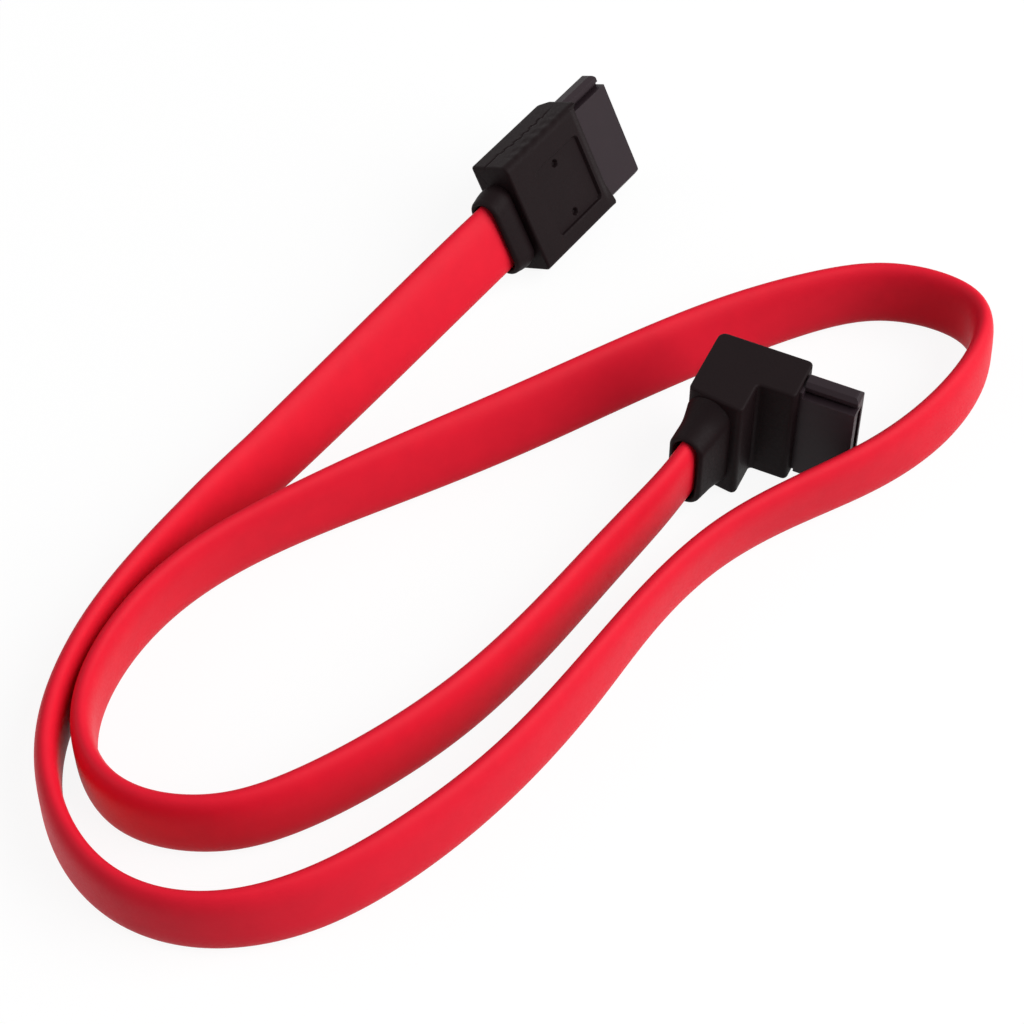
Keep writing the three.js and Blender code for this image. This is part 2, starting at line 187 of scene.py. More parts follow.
# Turns from a collar's own axes to its plug's: out of the straight grip's rear, and out of
# the end of the right-angle grip's leg.
TO_REAR = Matrix(((0, 0, -1, 0), (1, 0, 0, 0), (0, -1, 0, 0), (0, 0, 0, 1)))
TO_LEG = Matrix(((-1, 0, 0, 0), (0, 0, -1, 0), (0, -1, 0, 0), (0, 0, 0, 1)))

# Radius of the straight grip's upper back edge as a share of its other edges', and the radii
# of the right-angle grip's outer and inner corner.
BACK_CORNER = 0.6
OUTER_CORNER = 0.9 * MM
INNER_CORNER = 0.4 * MM

# Distance between points of a grip's mesh: fine where it carries relief. The last ring on an
# end face lies this many fillets inside its outline.
FINE_SPACING = 0.1 * MM
PLAIN_SPACING = 0.25 * MM
END_RING = 1.3

# Exponent of a shielded pair's section, and the width of the bevel on a nose's edges.
PAIR_SQUARENESS = 2.6
NOSE_BEVEL = 0.12 * MM

# Colours of the pieces inside the plugs.
FOIL_COLOUR = 0xD0D2D6
POLYETHYLENE_COLOUR = 0xEDE8DC
TIN_COLOUR = 0xBFC1C4

# Noise values lie mostly between these two.
NOISE_LOW = 0.3
NOISE_HIGH = 0.7

# Table: half its width in metres, how white it is to the rays that light the object and to
# those that show it, the strength of its glow and the glow's share of what is seen.
TABLE_HALF = 3
TABLE_LIT = 0.5
TABLE_SEEN = 0.95
GLOW_STRENGTH = 1.03
GLOW_SHARE = 0.88

# Strength of the white surroundings as a light and as they are seen, where 1 is white.
SKY_LIT = 0.2
SKY_SEEN = 1.0

# Lamps: name, place in metres, width of the square and power in watts.
LAMPS = (
    ("key", (0.68, -0.14, 0.56), 1.0, 10.7),
    ("fill", (-0.79, -0.01, 0.48), 0.7, 1.6),
)


def linear(hex_value):
    """Linear red, green and blue of an sRGB colour given as 0xRRGGBB."""
    srgb = np.array([hex_value >> 16 & 255, hex_value >> 8 & 255, hex_value & 255]) / 255
    return tuple(np.where(srgb <= 0.04045, srgb / 12.92, ((srgb + 0.055) / 1.055) ** 2.4))


def a_length(name, description, millimetres):
    """Property for a size, given in millimetres."""
    return FloatProperty(
        name=name, description=description, default=millimetres * MM, unit="LENGTH"
    )


def a_colour(name, description, hex_value):
    """Property for a colour, given as 0xRRGGBB."""
    return FloatVectorProperty(
        name=name, description=description, default=linear(hex_value), subtype="COLOR"
    )


class CableSizes(bpy.types.PropertyGroup):
    """Sizes of the flat cable."""

    width: a_length("Width", "Width of the flat cable", 8.8)
    thickness: a_length("Thickness", "Thickness of the flat cable", 2.4)
    squareness: FloatProperty(
        name="Squareness", description="Exponent of the section, where 2 is an ellipse", default=3.6
    )
    pair_width: a_length("Pair Width", "Width of a shielded pair", 3.2)
    pair_thickness: a_length("Pair Thickness", "Thickness of a shielded pair", 1.3)
    pair_spread: a_length("Pair Spread", "From the middle to a pair's middle", 2.1)
    step: a_length("Step", "Distance between rings of the mesh", 0.6)


class PlugSizes(bpy.types.PropertyGroup):
    """Sizes of the two plugs."""

    thickness: a_length("Grip Thickness", "Thickness of both grips", 5.7)
    corner: a_length("Grip Corner", "Radius of the grips' long edges", 0.6)
    soft_corner: a_length("Soft Corner", "Radius of the ridged edge", 0.9)
    fillet: a_length("Grip Fillet", "Radius of the end faces' edges", 0.3)
    straight_length: a_length("Straight Length", "Length of the straight grip", 14.2)
    straight_width: a_length("Straight Width", "Width of the straight grip", 14.4)
    angled_length: a_length("Angled Length", "Length of the right-angle block", 11)
    angled_width: a_length("Angled Width", "Width of the right-angle grip", 14)
    leg_width: a_length("Leg Width", "Width of the leg round the cable", 6.6)
    leg_place: a_length("Leg Place", "From the front face to the collar", 8.3)
    leg_reach: a_length("Leg Reach", "From the block's middle to the leg's end", 6.8)
    leg_slant: FloatProperty(
        name="Leg Slant", description="Slant of the leg's end",
        default=math.radians(8.2), subtype="ANGLE",
    )
    collar_width: a_length("Collar Width", "Width of a collar at its root", 11.8)
    collar_thickness: a_length("Collar Thickness", "Thickness of a collar's root", 4.8)
    collar_offset: a_length("Collar Offset", "Height of the collars over the grips' middles", -0.4)
    straight_collar: a_length("Straight Collar", "Length of the straight plug's collar", 3.5)
    angled_collar: a_length("Angled Collar", "Length of the right-angle plug's collar", 4.9)
    panel_length: a_length("Panel Length", "Length of the sunk panel", 8.3)
    panel_width: a_length("Panel Width", "Width of the sunk panel", 8.9)
    panel_depth: a_length("Panel Depth", "How far the panel is sunk", 0.4)
    ridge: a_length("Ridge Height", "Height of the ridges beside the parting line", 0.07)


class Colours(bpy.types.PropertyGroup):
    """Colours of the pieces."""

    jacket: a_colour("Jacket", "Red of the cable's PVC", 0xEE2036)
    grip: a_colour("Grip", "Black of the grips' PVC", 0x1A1012)
    insulator: a_colour("Insulator", "Black of the noses", 0x2C2126)
    contact: a_colour("Contact", "Gold of the contacts", 0xE2B85C)


def spline(values, stations):
    """Natural cubic spline: the values are given at whole numbers, and the curve's second
    slope is zero at both ends and the same on both sides of each given value."""
    values = np.asarray(values, float)
    count = len(values)
    system = np.eye(count)
    inner = np.arange(1, count - 1)
    system[inner, inner - 1] = 1 / 6
    system[inner, inner] = 2 / 3
    system[inner, inner + 1] = 1 / 6
    bends = np.zeros_like(values)
    bends[1:-1] = values[2:] - 2 * values[1:-1] + values[:-2]
    second = np.linalg.solve(system, bends)
    low = np.clip(np.floor(stations).astype(int), 0, count - 2)
    b = (stations - low)[:, None]
    a = 1 - b
    return (
        a * values[low] + b * values[low + 1]
        + ((a**3 - a) * second[low] + (b**3 - b) * second[low + 1]) / 6
    )


def unit(vectors):
    """Vectors of length one along the given ones."""
    return vectors / np.linalg.norm(vectors, axis=-1, keepdims=True)


def route_frames(sizes):
    """Rings' middles, and at each the directions up the cable's width and across its
    thickness. The rings are one step apart along the spline through the route, and none is
    lower than its lean lets it stand on the table, where the spline swings below that."""
    route = np.array(ROUTE, float)
    lean = np.radians(route[:, 3])
    half_flat = (sizes.width - sizes.thickness) / 2
    above_edge = sizes.thickness / 2 + EDGE_CLEAR
    height = route[:, 2] + half_flat * np.cos(lean) + above_edge
    knots = np.column_stack([route[:, 0], route[:, 1], height, lean])
    dense = np.linspace(0, len(knots) - 1, ROUTE_SAMPLES)
    curve = spline(knots, dense)
    steps = np.linalg.norm(np.diff(curve[:, :3], axis=0), axis=1)
    run = np.concatenate([[0], np.cumsum(steps)])
    count = int(run[-1] / sizes.step)
    even = np.interp(np.linspace(0, run[-1], count), run, dense)
    rings = spline(knots, even)
    middle, lean = rings[:, :3], rings[:, 3:]
    middle[:, 2] = np.maximum(middle[:, 2], half_flat * np.cos(lean[:, 0]) + above_edge)
    along = unit(np.gradient(middle, axis=0))
    left = unit(np.column_stack([-along[:, 1], along[:, 0], np.zeros(count)]))
    up = np.cos(lean) * [0, 0, 1] + np.sin(lean) * left
    up = unit(up - (up * along).sum(1, keepdims=True) * along)
    return middle, up, np.cross(along, up)


def outline(corners, radii, spacing):
    """Closed outline with round corners, as points and their outward normals. The straight
    stretches and the arcs are divided at about the spacing. The corners run anticlockwise."""
    corners = [np.array(corner, float) for corner in corners]
    points, normals = [], []
    for index, corner in enumerate(corners):
        before, after = corners[index - 1], corners[(index + 1) % len(corners)]
        enter, leave = unit(corner - before), unit(after - corner)
        turn = math.atan2(enter[0] * leave[1] - enter[1] * leave[0], enter @ leave)
        reach = radii[index] * abs(math.tan(turn / 2))
        outward = np.array([enter[1], -enter[0]])
        centre = corner - enter * reach - outward * math.copysign(radii[index], turn)
        steps = max(4, int(radii[index] * abs(turn) / spacing))
        angle = np.linspace(0, turn, steps + 1)[:, None]
        side = np.array([-outward[1], outward[0]])
        normal = np.cos(angle) * outward + np.sin(angle) * side
        points.append(centre + normal * math.copysign(radii[index], turn))
        normals.append(normal)
        following = radii[(index + 1) % len(corners)]
        beyond = corners[(index + 2) % len(corners)]
        next_leave = unit(beyond - after)
        cross = leave[0] * next_leave[1] - leave[1] * next_leave[0]
        next_turn = math.atan2(cross, leave @ next_leave)
        start = corner + leave * reach
        end = after - leave * following * abs(math.tan(next_turn / 2))
        count = max(2, int(np.linalg.norm(end - start) / spacing))
        share = np.linspace(0, 1, count + 1)[1:-1, None]
        points.append(start + (end - start) * share)
        normals.append(np.repeat([[leave[1], -leave[0]]], count - 1, axis=0))
    return np.concatenate(points), np.concatenate(normals)


def stations(low, high, fillet, spacing):
    """Positions along a prism and how far its outline is inset at each: a quarter circle at
    each end, even steps between them, and one ring more inside each end face."""
    angle = np.linspace(0, math.pi / 2, 6)
    rise = fillet * (1 - np.cos(angle))
    inset = fillet * (1 - np.sin(angle))
    count = max(2, int((high - low - 2 * fillet) / spacing))
    body = np.linspace(low + fillet, high - fillet, count + 1)[1:-1]
    position = np.concatenate([[low], low + rise, body, high - rise[::-1], [high]])
    end = [END_RING * fillet]
    return position, np.concatenate([end, inset, np.zeros(count - 1), inset[::-1], end])


def quads(rings, around):
    """Faces of a grid of rings that close on themselves, as corner numbers."""
    ring = np.arange(rings - 1)[:, None] * around
    corner = np.arange(around)[None, :]
    after = (corner + 1) % around
    above = ring + around
    faces = np.stack([ring + corner, ring + after, above + after, above + corner], -1)
    return faces.reshape(-1, 4)


def tube(grid):
    """Points, wall faces and two end faces of rings that close on themselves."""
    rings, around = grid.shape[:2]
    ring = np.arange(around)
    ends = np.stack([ring[::-1], ring + (rings - 1) * around])
    return grid.reshape(-1, 3), quads(rings, around), ends


def flat_section(width, thickness, squareness, count=64):
    """Section of a flat cable, up its width and across its thickness: the curve on which
    |x / half width| to the squareness and (y / half thickness) squared add up to one."""
    turn = np.linspace(0, 2 * math.pi, count, endpoint=False)
    tall = np.sign(np.cos(turn)) * np.abs(np.cos(turn)) ** (2 / squareness)
    return tall * width / 2, np.sin(turn) * thickness / 2


def swept(frames, section, shift=0.0):
    """Rings of a section along the route, shifted up the cable's width."""
    middle, up, across = frames
    tall, wide = section
    rise = (tall + shift)[:, None] * up[:, None]
    return middle[:, None] + rise + wide[:, None] * across[:, None]


def placed(points, matrix):
    """Points moved by a matrix."""
    matrix = np.array(matrix)
    return points @ matrix[:3, :3].T + matrix[:3, 3]


def smooth_step(value, low, high):
    """Zero below low, one above high, and the curve 3t2 - 2t3 between them."""
    share = np.clip((value - low) / (high - low), 0, 1)
    return share * share * (3 - 2 * share)


def make_piece(name, shells, material, replaced=(), sharp=35):
    """One object of closed shells, each its points, wall faces and end faces."""
    vertices = np.concatenate([shell[0] for shell in shells])
    faces, first = [], 0
    for points, walls, ends in shells:
        faces += (walls + first).tolist() + (ends + first).tolist()
        first += len(points)
    mesh = bpy.data.meshes.new(name)
    mesh.from_pydata(vertices.tolist(), [], faces)
    build = bmesh.new()
    build.from_mesh(mesh)
    bmesh.ops.remove_doubles(build, verts=build.verts, dist=1e-8)
    bmesh.ops.recalc_face_normals(build, faces=build.faces)
    build.to_mesh(mesh)
    build.free()
    mesh.materials.append(material)
    mesh.polygons.foreach_set("use_smooth", np.ones(len(mesh.polygons), bool))
    mesh.set_sharp_from_angle(angle=math.radians(sharp))
    piece = bpy.data.objects.new(name, mesh)
    bpy.context.scene.collection.objects.link(piece)
    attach(piece, "root")
    if replaced:
        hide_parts(*replaced)
    return piece


def plug_matrix(plug):
    """Where a plug's own frame lies: on the table on one long edge, or on its narrow side."""
    sizes = bpy.context.scene.plug_sizes
    if plug == "angled":
        return (
            Matrix.Translation((0, 0, sizes.angled_width / 2))
            @ Matrix.Rotation(math.radians(ANGLED_YAW), 4, "Z")
            @ Matrix.Translation((sizes.angled_length / 2, 0, 0))
        )
    lean = math.radians(STRAIGHT_LEAN)
    height = (
        (sizes.straight_width / 2 - REST_RADIUS) * math.cos(lean)
        + (sizes.thickness / 2 - REST_RADIUS) * math.sin(lean) + REST_RADIUS
    )
    return (
        Matrix.Translation((*STRAIGHT_CORNER, height))
        @ Matrix.Rotation(math.radians(STRAIGHT_YAW), 4, "Z")
        @ Matrix.Translation((sizes.straight_length, 0, 0))
        @ Matrix.Rotation(-lean, 4, "X")
    )


def collar(sizes, length, root):
    """Collar along Z with its width along Y: an oval that tapers to its free end, a rounded
    lip, and a bore that closes on the cable. Each ring is a straight core with a half
    circle of the ring's radius round each end. The size at the root runs into the taper
    along a parabola."""
    cable = bpy.context.scene.cable_sizes
    bore = cable.thickness / 2 + BORE_CLEAR
    lip_start = length - COLLAR_LIP
    place = np.concatenate([[-COLLAR_BURIED], np.linspace(0, ROOT_SPREAD, 9), [lip_start]])
    taper = 1 - COLLAR_TAPER * np.clip(place / lip_start, 0, 1)
    near = (1 - np.clip(place / ROOT_SPREAD, 0, 1)) ** 2
    radius = (taper * sizes.collar_thickness * (1 - near) + root[0] * near) / 2
    half_width = (taper * sizes.collar_width * (1 - near) + root[1] * near) / 2
    angle = np.linspace(0, math.pi, 9)[1:]
    lip = (radius[-1] - bore) / 2
    inner = cable.width / 2 + bore - cable.thickness / 2
    closing = half_width[-1] + (inner - half_width[-1]) * (1 - np.cos(angle)) / 2
    lip_place = lip_start + COLLAR_LIP * np.sin(angle)
    position = np.concatenate([place, lip_place, [-COLLAR_BURIED / 2]])
    radius = np.concatenate([radius, bore + lip + lip * np.cos(angle), [bore]])
    half_width = np.concatenate([half_width, closing, [inner]])
    rise = np.concatenate([root[2] * near, np.zeros(len(angle) + 1)])
    turn = np.linspace(-math.pi / 2, math.pi / 2, 25)
    side = np.concatenate([turn, turn + math.pi])
    end = np.repeat([1.0, -1.0], len(turn))
    across = radius[:, None] * np.sin(side)
    along = end * (half_width - radius)[:, None] + radius[:, None] * np.cos(side) - rise[:, None]
    return np.stack([across, along, np.broadcast_to(position[:, None], across.shape)], -1)


def rounded_box(x, z, middle, half, corner, soft):
    """One inside a rectangle with round corners and zero outside, with a soft border: the
    distance to the rectangle, eased."""
    past_x, past_z = np.abs(x - middle[0]) - half[0], np.abs(z - middle[1]) - half[1]
    reach = np.stack([past_x, past_z], -1) + corner
    distance = np.linalg.norm(np.maximum(reach, 0), axis=-1) + np.minimum(reach.max(-1), 0) - corner
    return 1 - smooth_step(distance, -soft / 2, soft / 2)


def straight_relief(points, sizes):
    """How far the straight grip's surface is pushed out along its normal: a sunk panel, two
    pits and a fall to the nose on the broad face, and on the upper narrow side a stepped
    parting line and faint ridges that run out over the edge to the broad face."""
    x, y, z = points[..., 0], points[..., 1], points[..., 2]
    middle = (PANEL_FRONT - sizes.panel_length / 2, PANEL_HEIGHT)
    half = (sizes.panel_length / 2, sizes.panel_width / 2)
    sunk = sizes.panel_depth * rounded_box(x, z, middle, half, PANEL_ROUND, PANEL_EDGE)
    for pit in PITS:
        distance = np.hypot(x - pit[0], z - pit[1])
        wall = smooth_step(distance, PIT_RADIUS - PIT_EDGE / 2, PIT_RADIUS + PIT_EDGE / 2)
        sunk += PIT_DEPTH * (1 - wall)
    sunk += FALL_DEPTH * smooth_step(x, -FALL_LENGTH, 0) * smooth_step(z, *FALL_FADE)
    relief = np.where(y < -sizes.thickness / 2 + BROAD_SKIN, -sunk, 0)
    top = sizes.straight_width / 2
    along = smooth_step(-x, *RIDGES_START) * (1 - smooth_step(-x, *RIDGES_END))
    near = smooth_step(-y, *RIDGE_SIDE) * smooth_step(z - top, *RIDGE_TOP)
    wave = (np.cos(2 * math.pi * x / RIDGE_SPACING) - 1) / 2
    ridges = sizes.ridge * wave * near * along
    steps = np.tanh(STEP_SHARPNESS * np.sin(2 * math.pi * x / STEP_SPACING))
    parting = PARTING_DRIFT * smooth_step(-x, *DRIFT_RUN) + PARTING_STEP * steps * along
    groove = GROOVE_DEPTH * np.exp(-(((y - parting) / GROOVE_WIDTH) ** 2))
    groove = groove * smooth_step(-x, *GROOVE_START)
    return relief + np.where(z > top - sizes.soft_corner, ridges - groove, 0)


def straight_grip(sizes):
    """Block of the straight grip: its rounded rectangle in (Y, Z) is carried along X, inset by
    a quarter circle at each end, and the relief is added along the outline's normal. The
    back of its front end is drawn in along the curve 3t2 - 2t3."""
    half_y, half_z = sizes.thickness / 2, sizes.straight_width / 2
    corners = [(-half_y, -half_z), (half_y, -half_z), (half_y, half_z), (-half_y, half_z)]
    radii = [sizes.corner, sizes.corner, BACK_CORNER * sizes.corner, sizes.soft_corner]
    points, normals = outline(corners, radii, FINE_SPACING)
    position, inset = stations(-sizes.straight_length, 0, sizes.fillet, FINE_SPACING)
    ring = points[None] - inset[:, None, None] * normals[None]
    x = np.broadcast_to(position[:, None], ring.shape[:2])
    grid = np.concatenate([x[..., None], ring], -1)
    whole = np.concatenate([x[..., None], np.broadcast_to(points, ring.shape)], -1)
    grid[..., 1:] += straight_relief(whole, sizes)[..., None] * normals[None]
    from_front = (whole[..., 1] + half_y) / (2 * half_y)
    grid[..., 1] -= BACK_DEPTH * smooth_step(x, -BACK_LENGTH, 0) * from_front
    return grid


def angled_grip(sizes):
    """Block and leg of the right-angle grip: its outline in (X, Y), an L whose leg ends on a
    slant, is carried along Z and inset by a quarter circle at the top and at the bottom."""
    rear, half = -sizes.angled_length, sizes.thickness / 2
    front = rear + sizes.leg_width
    slope = math.tan(sizes.leg_slant) * sizes.leg_width / 2
    corners = [
        (0, half),
        (rear, half),
        (rear, -sizes.leg_reach + slope),
        (front, -sizes.leg_reach - slope),
        (front, -half),
        (0, -half),
    ]
    corner = sizes.corner
    radii = [corner, OUTER_CORNER, corner, corner, INNER_CORNER, corner]
    points, normals = outline(corners, radii, PLAIN_SPACING)
    half_width = sizes.angled_width / 2
    position, inset = stations(-half_width, half_width, sizes.fillet, PLAIN_SPACING)
    ring = points[None] - inset[:, None, None] * normals[None]
    z = np.broadcast_to(position[:, None], ring.shape[:2])
    return np.concatenate([ring, z[..., None]], -1)


def add_node(tree, kind, inputs=(), **settings):
    """A node with its settings, and its inputs set or linked by name."""
    node = tree.nodes.new(kind)
    for name, value in settings.items():
        setattr(node, name, value)
    for name, value in dict(inputs).items():
        if isinstance(value, bpy.types.NodeSocket):
            tree.links.new(value, node.inputs[name])
        else:
            node.inputs[name].default_value = value
    return node


def start_material(name):
    """A material with its tree emptied, an output, and Object coordinates."""
    material = bpy.data.materials.new(name)
    material.use_nodes = True
    tree = material.node_tree
    tree.nodes.clear()
    coordinates = add_node(tree, "ShaderNodeTexCoord").outputs["Object"]
    return material, tree, coordinates


def per(millimetres):
    """Noise scale whose pattern repeats about every so many millimetres."""
    return 1 / (millimetres * MM)


def plastic(name, colour, shade, grain, bump, rough, specular, mottle=4):
    """Moulded or extruded plastic: a faint mottle between the colour and a share of it, and a
    fine grain that breaks up the gloss. The mottle, the grain and the bump's height are in
    millimetres."""
    material, tree, place = start_material(name)
    patches = add_node(
        tree, "ShaderNodeTexNoise", {"Vector": place, "Scale": per(mottle), "Detail": 4.0}
    ).outputs["Fac"]
    base = add_node(
        tree, "ShaderNodeMix",
        {"Factor": patches, 6: (*colour, 1), 7: (*[channel * shade for channel in colour], 1)},
        data_type="RGBA",
    ).outputs[2]
    fine = add_node(
        tree, "ShaderNodeTexNoise", {"Vector": place, "Scale": per(grain), "Detail": 2.0}
    ).outputs["Fac"]
    gloss = add_node(
        tree, "ShaderNodeMapRange",
        {
            "Value": fine, "From Min": NOISE_LOW, "From Max": NOISE_HIGH,
            "To Min": rough[0], "To Max": rough[1],
        },
    ).outputs["Result"]
    relief = add_node(
        tree, "ShaderNodeBump", {"Height": fine, "Strength": 0.6, "Distance": bump * MM}
    ).outputs["Normal"]
    surface = add_node(
        tree, "ShaderNodeBsdfPrincipled",
        {
            "Base Color": base, "Roughness": gloss, "Normal": relief, "IOR": 1.5,
            "Specular IOR Level": specular,
        },
    )
    add_node(tree, "ShaderNodeOutputMaterial", {"Surface": surface.outputs["BSDF"]})
    return material


def metal(name, colour, stretch, scratch, rough):
    """Rolled, drawn or wrapped metal: fine lines along one axis vary the gloss. The lines'
    spacing is in millimetres."""
    material, tree, place = start_material(name)
    lined = add_node(
        tree, "ShaderNodeMapping", {"Vector": place, "Scale": stretch}
    ).outputs["Vector"]
    lines = add_node(
        tree, "ShaderNodeTexNoise", {"Vector": lined, "Scale": per(scratch), "Detail": 3.0}
    ).outputs["Fac"]
    gloss = add_node(
        tree, "ShaderNodeMapRange",
        {
            "Value": lines, "From Min": NOISE_LOW, "From Max": NOISE_HIGH,
            "To Min": rough[0], "To Max": rough[1],
        },
    ).outputs["Result"]
    relief = add_node(
        tree, "ShaderNodeBump", {"Height": lines, "Strength": 0.3, "Distance": 0.005 * MM}
    ).outputs["Normal"]
    surface = add_node(
        tree, "ShaderNodeBsdfPrincipled",
        {"Base Color": (*colour, 1), "Metallic": 1.0, "Roughness": gloss, "Normal": relief},
    )
    add_node(tree, "ShaderNodeOutputMaterial", {"Surface": surface.outputs["BSDF"]})
    return material


def extruded_red_pvc():
    """Flexible PVC as it leaves the die: a saturated red with a satin gloss and a faint grain."""
    red = tuple(bpy.context.scene.cable_colours.jacket)
    return plastic(
        "extruded_red_pvc", red, shade=0.88, grain=0.3, bump=0.015, rough=(0.42, 0.52),
        specular=0.09, mottle=2.5,
    )


def moulded_black_pvc():
    """PVC moulded in a spark-eroded tool: matt, with a grain drawn coarse enough to show."""
    black = tuple(bpy.context.scene.cable_colours.grip)
    return plastic(
        "moulded_black_pvc", black, shade=0.7, grain=0.25, bump=0.02, rough=(0.5, 0.62),
        specular=0.08,
    )


def moulded_black_polyester():
    """Glass-filled polyester from a smooth tool: a little glossier than the grips."""
    black = tuple(bpy.context.scene.cable_colours.insulator)
    return plastic(
        "moulded_black_polyester", black, shade=0.8, grain=0.4, bump=0.006, rough=(0.38, 0.46),
        specular=0.15,
    )


def gold_plated_strip():
    """Stamped strip with gold plating: bright, with rolling lines along it."""
    gold = tuple(bpy.context.scene.cable_colours.contact)
    return metal("gold_plated_strip", gold, stretch=(0.1, 1, 1), scratch=0.1, rough=(0.2, 0.35))


def wrapped_aluminium_foil():
    """Aluminium foil wrapped round a pair: bright, a little crumpled."""
    foil = linear(FOIL_COLOUR)
    return metal(
        "wrapped_aluminium_foil", foil, stretch=(1, 1, 1), scratch=0.8, rough=(0.25, 0.45)
    )


def natural_polyethylene():
    """Insulation of natural polyethylene: milky and waxy."""
    return plastic(
        "natural_polyethylene", linear(POLYETHYLENE_COLOUR), shade=0.95, grain=0.5, bump=0.004,
        rough=(0.4, 0.5), specular=0.5,
    )


def tinned_copper():
    """Drawn copper wire with a tin coat: grey and slightly dull."""
    tin = linear(TIN_COLOUR)
    return metal("tinned_copper", tin, stretch=(0.2, 1, 1), scratch=0.1, rough=(0.3, 0.45))


def seen_rays(tree):
    """One on rays that show a surface, seen straight, mirrored or through glass, and zero on
    the rays that light the object."""
    rays = add_node(tree, "ShaderNodeLightPath").outputs
    seen = rays["Is Camera Ray"]
    for kind in ("Is Glossy Ray", "Is Transmission Ray"):
        seen = add_node(
            tree, "ShaderNodeMath", {0: seen, 1: rays[kind]}, operation="MAXIMUM"
        ).outputs["Value"]
    return seen


def dress(names, material):
    """A better material on CAD nodes whose shape is right."""
    for name in names:
        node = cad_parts[name]
        node.data.materials.clear()
        node.data.materials.append(material)


class CABLE_OT_camera(bpy.types.Operator):
    """Add the camera at the photograph's viewing angle"""

    bl_idname = "data_cable.camera"
    bl_label = "Camera"

    def execute(self, context):
        camera = bpy.data.objects.new("camera", bpy.data.cameras.new("camera"))
        context.scene.collection.objects.link(camera)
        pitch = math.radians(CAMERA_PITCH)
        back = Vector((0, -math.cos(pitch), math.sin(pitch))) * CAMERA_DISTANCE
        camera.location = Vector(CAMERA_AIM) + back
        camera.rotation_euler = (math.pi / 2 - pitch, 0, 0)
        camera.data.lens = CAMERA_LENS
        camera.data.sensor_width = CAMERA_SENSOR
        camera.data.clip_start = 0.01
        context.scene.camera = camera
        return {"FINISHED"}


class CABLE_OT_cable(bpy.types.Operator):
    """Add the cable's jacket and shielded pairs along its route"""

    bl_idname = "data_cable.cable"
    bl_label = "Flat Cable"

    def execute(self, context):
        sizes = context.scene.cable_sizes
        frames = route_frames(sizes)
        section = flat_section(sizes.width, sizes.thickness, sizes.squareness)
        inner = tuple(values[1:-1] for values in frames)
        jacket = make_piece(
            "jacket", [tube(swept(inner, section))], extruded_red_pvc(),
            ["cable_jacket"], sharp=60,
        )
        foil = wrapped_aluminium_foil()
        section = flat_section(sizes.pair_width, sizes.pair_thickness, PAIR_SQUARENESS, count=24)
        for letter, side in (("a", 1), ("b", -1)):
            rings = swept(frames, section, side * sizes.pair_spread)
            make_piece(
                f"foil_pair_{letter}", [tube(rings)], foil,
                [f"shielded_pair_{letter}"], sharp=60,
            )
        return {"FINISHED"}


class CABLE_OT_grips(bpy.types.Operator):
    """Add the moulded grips of both plugs"""

    bl_idname = "data_cable.grips"
    bl_label = "Moulded Grips"

    def execute(self, context):
        sizes = context.scene.plug_sizes
        material = moulded_black_pvc()
        rear = Matrix.Translation((-sizes.straight_length, 0, sizes.collar_offset))
        place = plug_matrix("straight")
        block = placed(straight_grip(sizes), place)
        ring = placed(collar(sizes, sizes.straight_collar, STRAIGHT_ROOT), place @ rear @ TO_REAR)
        make_piece(
            "straight_grip", [tube(block), tube(ring)], material,
            ["straight_overmould"],
        )
        leg = (
            Matrix.Translation((-sizes.leg_place, -sizes.leg_reach, sizes.collar_offset))
            @ Matrix.Rotation(-sizes.leg_slant, 4, "Z")
        )
        place = plug_matrix("angled")
        block = placed(angled_grip(sizes), place)
        ring = placed(collar(sizes, sizes.angled_collar, ANGLED_ROOT), place @ leg @ TO_LEG)
        make_piece(
            "angled_grip", [tube(block), tube(ring)], material, ["angled_overmould"]
        )
        return {"FINISHED"}


class CABLE_OT_noses(bpy.types.Operator):
    """Add the noses of both plugs, with softened edges"""

    bl_idname = "data_cable.noses"
    bl_label = "Plug Noses"

    def execute(self, context):
        material = moulded_black_polyester()
        for plug in ("straight", "angled"):
            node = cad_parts[f"{plug}_housing"]
            build = bmesh.new()
            build.from_mesh(node.data)
            bmesh.ops.remove_doubles(build, verts=build.verts, dist=1e-6)
            bmesh.ops.dissolve_limit(
                build, angle_limit=math.radians(1), verts=build.verts, edges=build.edges
            )
            mesh = bpy.data.meshes.new(f"{plug}_nose")
            build.to_mesh(mesh)
            build.free()
            mesh.materials.clear()
            mesh.materials.append(material)
            nose = bpy.data.objects.new(f"{plug}_nose", mesh)
            context.scene.collection.objects.link(nose)
            soften = nose.modifiers.new("soften", "BEVEL")
            soften.width = NOSE_BEVEL
            soften.segments = 3
            soften.limit_method = "ANGLE"
            soften.angle_limit = math.radians(30)
            soften.harden_normals = True
            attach(nose, "root")
            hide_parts(f"{plug}_housing")
        return {"FINISHED"}


class CABLE_OT_inner_pieces(bpy.types.Operator):
    """Finish the contacts and the wire ends"""

    bl_idname = "data_cable.inner_pieces"
    bl_label = "Contacts and Wires"

    def execute(self, context):
        kinds = (
            ("contact", gold_plated_strip(), "contact"),
            ("signal_wire", natural_polyethylene(), "wire_insulation"),
            ("drain_wire", tinned_copper(), "drain"),
        )
        for word, material, slot in kinds:
            dress([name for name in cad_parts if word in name], material)
        return {"FINISHED"}


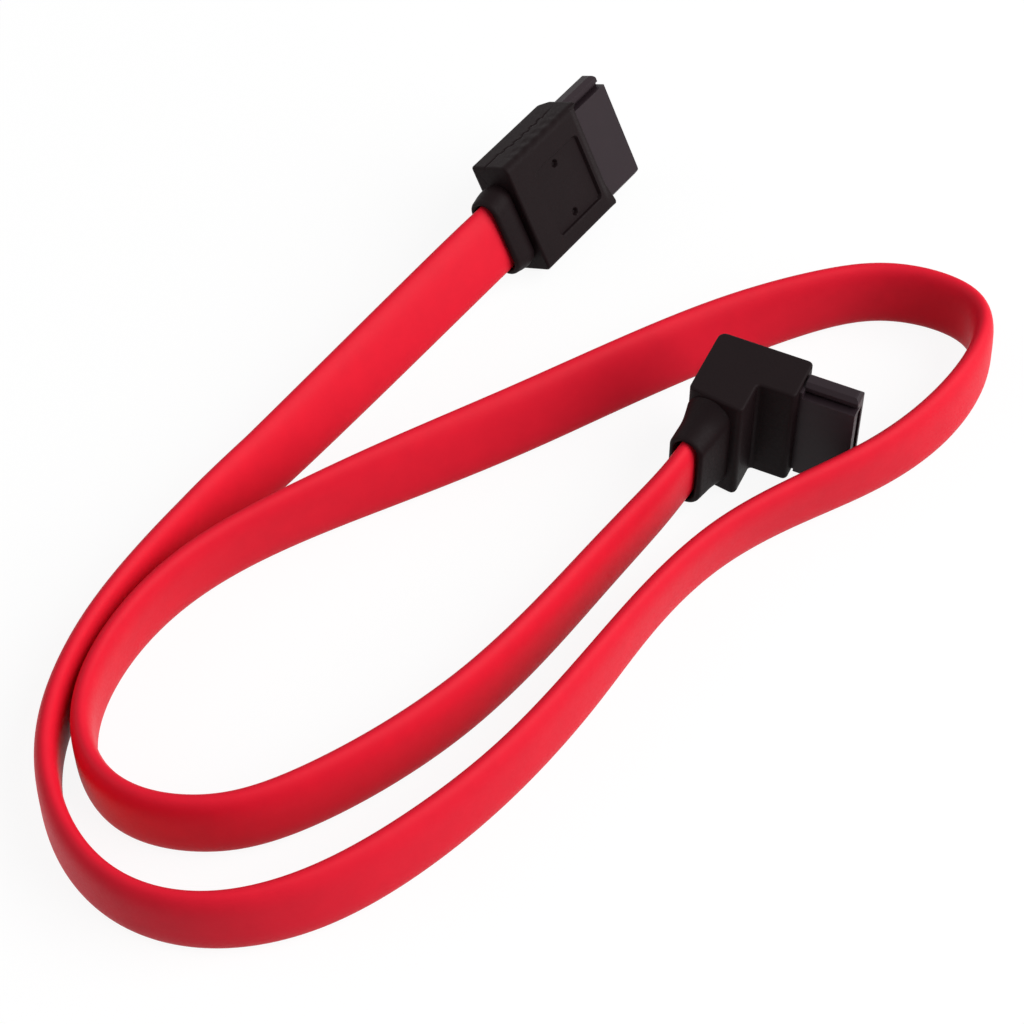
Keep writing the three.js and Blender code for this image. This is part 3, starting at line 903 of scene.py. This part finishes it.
class CABLE_OT_stage(bpy.types.Operator):
    """Add the table top, the lamps and the world"""

    bl_idname = "data_cable.stage"
    bl_label = "Stage"

    def execute(self, context):
        scene = context.scene
        scene.view_settings.view_transform = "Standard"
        mesh = bpy.data.meshes.new("table_top")
        corners = [
            (side_x * TABLE_HALF, side_y * TABLE_HALF, 0)
            for side_x, side_y in ((-1, -1), (1, -1), (1, 1), (-1, 1))
        ]
        mesh.from_pydata(corners, [], [(0, 1, 2, 3)])
        table_top = bpy.data.objects.new("table_top", mesh)
        scene.collection.objects.link(table_top)
        material, tree, _ = start_material("white_table")
        seen = seen_rays(tree)
        white = add_node(
            tree, "ShaderNodeMapRange", {"Value": seen, "To Min": TABLE_LIT, "To Max": TABLE_SEEN}
        ).outputs["Result"]
        matt = add_node(tree, "ShaderNodeBsdfDiffuse", {"Color": white}).outputs["BSDF"]
        glow = add_node(
            tree, "ShaderNodeEmission", {"Color": (1, 1, 1, 1), "Strength": GLOW_STRENGTH}
        ).outputs["Emission"]
        mixed = add_node(
            tree, "ShaderNodeMixShader", {"Fac": GLOW_SHARE, 1: matt, 2: glow}
        ).outputs["Shader"]
        shown = add_node(
            tree, "ShaderNodeMixShader", {"Fac": seen, 1: matt, 2: mixed}
        ).outputs["Shader"]
        add_node(tree, "ShaderNodeOutputMaterial", {"Surface": shown})
        mesh.materials.append(material)
        world = bpy.data.worlds.new("studio")
        world.use_nodes = True
        tree = world.node_tree
        tree.nodes.clear()
        seen = seen_rays(tree)
        strength = add_node(
            tree, "ShaderNodeMapRange", {"Value": seen, "To Min": SKY_LIT, "To Max": SKY_SEEN}
        ).outputs["Result"]
        sky = add_node(
            tree, "ShaderNodeBackground", {"Color": (1, 1, 1, 1), "Strength": strength}
        ).outputs["Background"]
        add_node(tree, "ShaderNodeOutputWorld", {"Surface": sky})
        scene.world = world
        for name, place, size, power in LAMPS:
            lamp = bpy.data.lights.new(name, "AREA")
            lamp.size = size
            lamp.energy = power
            light = bpy.data.objects.new(name, lamp)
            light.location = place
            to_cable = Vector(CAMERA_AIM) - Vector(place)
            light.rotation_euler = to_cable.to_track_quat("-Z", "Y").to_euler()
            scene.collection.objects.link(light)
        return {"FINISHED"}


class CABLE_PT_panel(bpy.types.Panel):
    """Lists the cable's pieces"""

    bl_label = "Data Cable"
    bl_space_type = "VIEW_3D"
    bl_region_type = "UI"
    bl_category = "Data Cable"

    def draw(self, context):
        for operator in OPERATORS:
            self.layout.operator(operator.bl_idname)
        scene = context.scene
        for group in (scene.cable_sizes, scene.plug_sizes, scene.cable_colours):
            box = self.layout.box()
            for name in group.bl_rna.properties.keys():
                if name not in ("rna_type", "name"):
                    box.prop(group, name)


OPERATORS = (
    CABLE_OT_camera,
    CABLE_OT_grips,
    CABLE_OT_noses,
    CABLE_OT_cable,
    CABLE_OT_inner_pieces,
    CABLE_OT_stage,
)
CLASSES = (CableSizes, PlugSizes, Colours, *OPERATORS, CABLE_PT_panel)


def register():
    """Adds the classes and the scene's settings."""
    for each in CLASSES:
        bpy.utils.register_class(each)
    bpy.types.Scene.cable_sizes = PointerProperty(type=CableSizes)
    bpy.types.Scene.plug_sizes = PointerProperty(type=PlugSizes)
    bpy.types.Scene.cable_colours = PointerProperty(type=Colours)


def unregister():
    """Removes what register added."""
    del bpy.types.Scene.cable_colours
    del bpy.types.Scene.plug_sizes
    del bpy.types.Scene.cable_sizes
    for each in reversed(CLASSES):
        bpy.utils.unregister_class(each)


def main():
    register()
    bpy.ops.data_cable.camera()
    bpy.ops.data_cable.grips()
    bpy.ops.data_cable.noses()
    bpy.ops.data_cable.cable()
    bpy.ops.data_cable.inner_pieces()
    bpy.ops.data_cable.stage()


if __name__ == "__main__":
    main()
